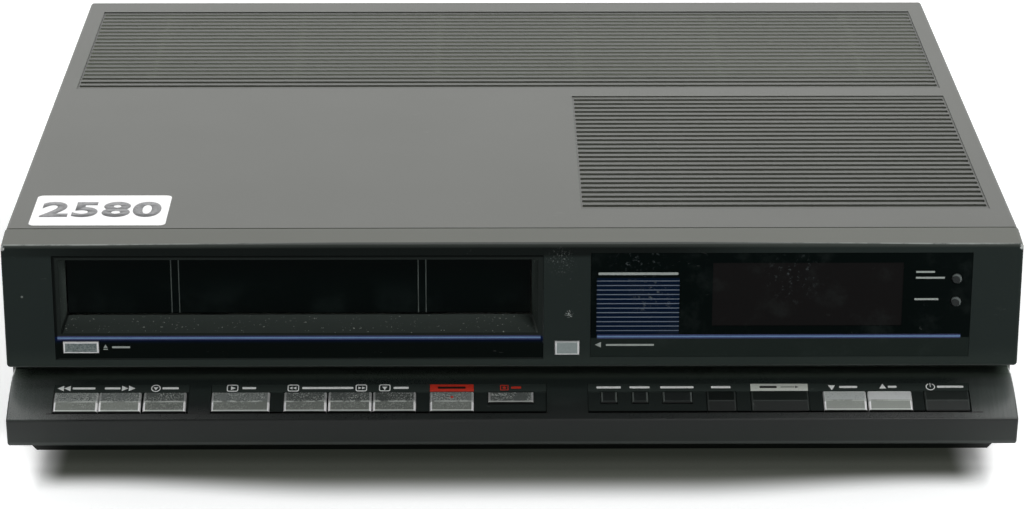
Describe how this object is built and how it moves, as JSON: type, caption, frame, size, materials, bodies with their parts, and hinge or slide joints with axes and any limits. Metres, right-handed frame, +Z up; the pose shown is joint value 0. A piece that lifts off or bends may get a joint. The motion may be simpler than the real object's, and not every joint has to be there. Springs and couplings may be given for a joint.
{
  "type": "video cassette recorder",
  "caption": "Front-loading video cassette recorder: hinged cassette flap, dark display panel, sloping key ledge, louvred cover, rear sockets, and a working cassette lift and tape deck.",
  "frame": {"origin": "middle of the footprint, on the surface that the feet stand on", "axes": "+X to the right seen from the front, +Y to the rear, +Z up"},
  "size_m": [0.4236, 0.3677, 0.096],
  "materials": {
    "cover_paint": "fine satin charcoal paint",
    "moulding": "fine-grained charcoal moulding",
    "dark_moulding": "fine-grained black moulding",
    "gloss_panel": "polished black acrylic",
    "door_plastic": "polished black moulding",
    "key_silver": "worn metallic lacquer",
    "key_dark": "fine-grained moulding",
    "key_light": "satin light grey moulding",
    "steel": "zinc plated sheet",
    "deck_metal": "cast aluminium",
    "drum_metal": "turned aluminium",
    "screw_metal": "blackened screws",
    "foot_rubber": "moulded rubber",
    "roller_rubber": "ground rubber",
    "circuit_board": "phenolic board with parts",
    "core_steel": "lacquered laminations",
    "reel_plastic": "white acetal",
    "socket_metal": "nickel plated",
    "socket_plastic": "black moulding",
    "tube_glass": "dark display tube"
  },
  "bodies": {
    "root": {"aerial_sockets": "socket_metal", "av_socket": "socket_plastic", "base_tray": "dark_moulding", "capstan_motor": "circuit_board", "cassette_surround": "moulding", "control_ledge": "moulding", "cover_screws": "screw_metal", "deck_plate": "deck_metal", "display_board": "circuit_board", "display_panel": "gloss_panel", "display_tube": "tube_glass", "feet": "foot_rubber", "front_bezel": "moulding", "front_switch_boards": "circuit_board", "key_board": "circuit_board", "left_key_plate": "dark_moulding", "lift_frame": "steel", "loading_motor": "dark_moulding", "lower_drum": "drum_metal", "main_board": "circuit_board", "mains_inlet": "socket_plastic", "power_board": "circuit_board", "rear_panel": "dark_moulding", "right_key_plate": "dark_moulding", "tape_heads": "drum_metal", "tape_posts": "steel", "top_cover": "cover_paint", "transformer": "core_steel", "tuner_box": "steel"},
    "rewind_key": {"rewind_key": "key_silver"},
    "wind_key": {"wind_key": "key_silver"},
    "stop_key": {"stop_key": "key_silver"},
    "play_key": {"play_key": "key_silver"},
    "search_back_key": {"search_back_key": "key_silver"},
    "search_forward_key": {"search_forward_key": "key_silver"},
    "still_key": {"still_key": "key_silver"},
    "record_key": {"record_key": "key_silver"},
    "one_touch_record_key": {"one_touch_record_key": "key_silver"},
    "timer_key": {"timer_key": "key_dark"},
    "down_key": {"down_key": "key_silver"},
    "up_key": {"up_key": "key_silver"},
    "standby_key": {"standby_key": "key_dark"},
    "channel_search_key": {"channel_search_key": "key_dark"},
    "store_key": {"store_key": "key_dark"},
    "clock_set_key": {"clock_set_key": "key_dark"},
    "reset_key": {"reset_key": "key_dark"},
    "eject_button": {"eject_button": "key_silver"},
    "tracking_button": {"tracking_button": "key_light"},
    "clock_counter_button": {"clock_counter_button": "key_dark"},
    "dimmer_button": {"dimmer_button": "key_dark"},
    "cassette_door": {"cassette_door": "door_plastic"},
    "carriage_runner": {"carriage_runner": "steel"},
    "cassette_basket": {"cassette_basket": "steel"},
    "carriage_gear": {"carriage_gear": "reel_plastic"},
    "supply_reel": {"supply_reel": "reel_plastic"},
    "takeup_reel": {"takeup_reel": "reel_plastic"},
    "head_drum": {"head_drum": "drum_metal"},
    "capstan": {"capstan": "steel"},
    "pinch_arm": {"pinch_arm": "steel"},
    "pinch_roller": {"pinch_roller": "roller_rubber"}
  },
  "joints": [
    {"name": "rewind_key_press", "type": "slide", "parent": "root", "child": "rewind_key", "axis": [0, 0.4163, -0.9092], "range_m": [0, 0.001], "stiffness_N_per_m": 200},
    {"name": "wind_key_press", "type": "slide", "parent": "root", "child": "wind_key", "axis": [0, 0.4163, -0.9092], "range_m": [0, 0.001], "stiffness_N_per_m": 200},
    {"name": "stop_key_press", "type": "slide", "parent": "root", "child": "stop_key", "axis": [0, 0.4163, -0.9092], "range_m": [0, 0.001], "stiffness_N_per_m": 200},
    {"name": "play_key_press", "type": "slide", "parent": "root", "child": "play_key", "axis": [0, 0.4163, -0.9092], "range_m": [0, 0.001], "stiffness_N_per_m": 200},
    {"name": "search_back_key_press", "type": "slide", "parent": "root", "child": "search_back_key", "axis": [0, 0.4163, -0.9092], "range_m": [0, 0.001], "stiffness_N_per_m": 200},
    {"name": "search_forward_key_press", "type": "slide", "parent": "root", "child": "search_forward_key", "axis": [0, 0.4163, -0.9092], "range_m": [0, 0.001], "stiffness_N_per_m": 200},
    {"name": "still_key_press", "type": "slide", "parent": "root", "child": "still_key", "axis": [0, 0.4163, -0.9092], "range_m": [0, 0.001], "stiffness_N_per_m": 200},
    {"name": "record_key_press", "type": "slide", "parent": "root", "child": "record_key", "axis": [0, 0.4163, -0.9092], "range_m": [0, 0.001], "stiffness_N_per_m": 200},
    {"name": "one_touch_record_key_press", "type": "slide", "parent": "root", "child": "one_touch_record_key", "axis": [0, 0.4163, -0.9092], "range_m": [0, 0.001], "stiffness_N_per_m": 200},
    {"name": "timer_key_press", "type": "slide", "parent": "root", "child": "timer_key", "axis": [0, 0.4163, -0.9092], "range_m": [0, 0.001], "stiffness_N_per_m": 200},
    {"name": "down_key_press", "type": "slide", "parent": "root", "child": "down_key", "axis": [0, 0.4163, -0.9092], "range_m": [0, 0.001], "stiffness_N_per_m": 200},
    {"name": "up_key_press", "type": "slide", "parent": "root", "child": "up_key", "axis": [0, 0.4163, -0.9092], "range_m": [0, 0.001], "stiffness_N_per_m": 200},
    {"name": "standby_key_press", "type": "slide", "parent": "root", "child": "standby_key", "axis": [0, 0.4163, -0.9092], "range_m": [0, 0.001], "stiffness_N_per_m": 200},
    {"name": "channel_search_key_press", "type": "slide", "parent": "root", "child": "channel_search_key", "axis": [0, 0.4163, -0.9092], "range_m": [0, 0.001], "stiffness_N_per_m": 200},
    {"name": "store_key_press", "type": "slide", "parent": "root", "child": "store_key", "axis": [0, 0.4163, -0.9092], "range_m": [0, 0.001], "stiffness_N_per_m": 200},
    {"name": "clock_set_key_press", "type": "slide", "parent": "root", "child": "clock_set_key", "axis": [0, 0.4163, -0.9092], "range_m": [0, 0.001], "stiffness_N_per_m": 200},
    {"name": "reset_key_press", "type": "slide", "parent": "root", "child": "reset_key", "axis": [0, 0.4163, -0.9092], "range_m": [0, 0.001], "stiffness_N_per_m": 200},
    {"name": "eject_button_press", "type": "slide", "parent": "root", "child": "eject_button", "axis": [0, 1, 0], "range_m": [0, 0.0015], "stiffness_N_per_m": 200},
    {"name": "tracking_button_press", "type": "slide", "parent": "root", "child": "tracking_button", "axis": [0, 1, 0], "range_m": [0, 0.0015], "stiffness_N_per_m": 200},
    {"name": "clock_counter_button_press", "type": "slide", "parent": "root", "child": "clock_counter_button", "axis": [0, 1, 0], "range_m": [0, 0.0015], "stiffness_N_per_m": 200},
    {"name": "dimmer_button_press", "type": "slide", "parent": "root", "child": "dimmer_button", "axis": [0, 1, 0], "range_m": [0, 0.0015], "stiffness_N_per_m": 200},
    {"name": "door_swing", "type": "hinge", "parent": "root", "child": "cassette_door", "pos_m": [-0.0888, -0.1568, 0.0892], "axis": [1, 0, 0], "range_deg": [0, 90], "stiffness_Nm_per_rad": 0.004, "springref_deg": -17.19},
    {"name": "carriage_travel", "type": "slide", "parent": "root", "child": "carriage_runner", "axis": [0, 1, 0], "range_m": [0, 0.08]},
    {"name": "basket_drop", "type": "slide", "parent": "carriage_runner", "child": "cassette_basket", "axis": [0, 0, -1], "range_m": [0, 0.018]},
    {"name": "carriage_gear_turn", "type": "hinge", "parent": "root", "child": "carriage_gear", "pos_m": [0.0119, -0.0429, 0.06025], "axis": [1, 0, 0], "range_deg": [-288, 0]},
    {"name": "supply_reel_turn", "type": "hinge", "parent": "root", "child": "supply_reel", "pos_m": [-0.1348, -0.0454, 0.04], "axis": [0, 0, 1], "continuous": true},
    {"name": "takeup_reel_turn", "type": "hinge", "parent": "root", "child": "takeup_reel", "pos_m": [-0.0428, -0.0454, 0.04], "axis": [0, 0, 1], "continuous": true},
    {"name": "drum_turn", "type": "hinge", "parent": "root", "child": "head_drum", "pos_m": [-0.0888, 0.0591, 0.0324], "axis": [-0.0976, 0, 0.9952], "continuous": true},
    {"name": "capstan_turn", "type": "hinge", "parent": "root", "child": "capstan", "pos_m": [-0.022, 0.0211, 0.04], "axis": [0, 0, 1], "continuous": true},
    {"name": "pinch_arm_swing", "type": "hinge", "parent": "root", "child": "pinch_arm", "pos_m": [0.00144, 0.03599, 0.04], "axis": [0, 0, 1], "range_deg": [0, 25], "stiffness_Nm_per_rad": 0.01, "springref_deg": -2.86},
    {"name": "pinch_roller_turn", "type": "hinge", "parent": "pinch_arm", "child": "pinch_roller", "pos_m": [-0.01848, 0.03774, 0.05], "axis": [0, 0, 1], "continuous": true}
  ],
  "couplings": [
    {"joint": "carriage_gear_turn", "follows": "carriage_travel", "rad_per_m": -62.5}
  ]
}
